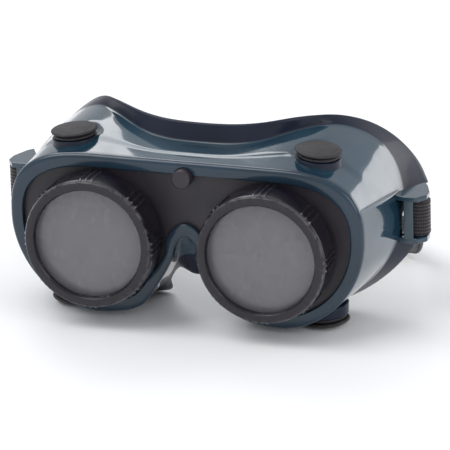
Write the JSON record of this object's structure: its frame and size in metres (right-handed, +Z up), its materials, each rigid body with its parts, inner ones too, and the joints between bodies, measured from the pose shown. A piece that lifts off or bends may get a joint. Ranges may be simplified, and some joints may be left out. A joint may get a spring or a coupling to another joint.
{
  "type": "welding goggles",
  "caption": "Welding goggles: soft frame that seals to the face, front plate, screw-on lens rings with cover and shade lenses, baffled vents and an adjustable head strap.",
  "frame": {"origin": "middle of the footprint, on the surface the goggles stand on", "axes": "+X runs across the face, +Y points back from the lenses towards the face, +Z points up"},
  "size_m": [0.1892, 0.1334, 0.0851],
  "materials": {
    "soft_pvc": "glossy soft moulding, dark blue-green",
    "plate_plastic": "satin black moulding",
    "ring_plastic": "satin black moulding with worn ribs",
    "clear_glass": "polished clear cover glass",
    "shade_glass": "polished dark filter glass",
    "gasket_rubber": "matte black rubber",
    "vent_plastic": "matte dark grey moulding",
    "elastic_webbing": "ribbed woven elastic, brown-black"
  },
  "bodies": {
    "frame": {"frame_shell": "soft_pvc", "front_plate": "plate_plastic", "centre_stud": "plate_plastic", "vent_body_top_left": "vent_plastic", "vent_cap_top_left": "vent_plastic", "vent_body_top_right": "vent_plastic", "vent_cap_top_right": "vent_plastic", "vent_body_bottom_left": "vent_plastic", "vent_cap_bottom_left": "vent_plastic", "vent_body_bottom_right": "vent_plastic", "vent_cap_bottom_right": "vent_plastic", "head_strap": "elastic_webbing"},
    "lens_stack_left": {"cover_lens_left": "clear_glass", "shade_lens_left": "shade_glass", "lens_gasket_left": "gasket_rubber"},
    "ring_left": {"lens_ring_left": "ring_plastic"},
    "lens_stack_right": {"cover_lens_right": "clear_glass", "shade_lens_right": "shade_glass", "lens_gasket_right": "gasket_rubber"},
    "ring_right": {"lens_ring_right": "ring_plastic"},
    "slider": {"strap_slider": "plate_plastic"}
  },
  "joints": [
    {"name": "ring_left_travel", "type": "slide", "parent": "frame", "child": "lens_stack_left", "axis": [0, -1, 0], "range_m": [0, 0.006]},
    {"name": "ring_left_spin", "type": "hinge", "parent": "lens_stack_left", "child": "ring_left", "pos_m": [-0.038, -0.05872, 0.0384], "axis": [0, -1, 0], "range_deg": [0, 720]},
    {"name": "ring_right_travel", "type": "slide", "parent": "frame", "child": "lens_stack_right", "axis": [0, -1, 0], "range_m": [0, 0.006]},
    {"name": "ring_right_spin", "type": "hinge", "parent": "lens_stack_right", "child": "ring_right", "pos_m": [0.038, -0.05872, 0.0384], "axis": [0, -1, 0], "range_deg": [0, 720]},
    {"name": "slider_slide", "type": "slide", "parent": "frame", "child": "slider", "axis": [1, 0, 0], "range_m": [-0.013, 0.011]}
  ],
  "couplings": [
    {"joint": "ring_left_travel", "follows": "ring_left_spin", "m_per_rad": 0.000477},
    {"joint": "ring_right_travel", "follows": "ring_right_spin", "m_per_rad": 0.000477}
  ]
}
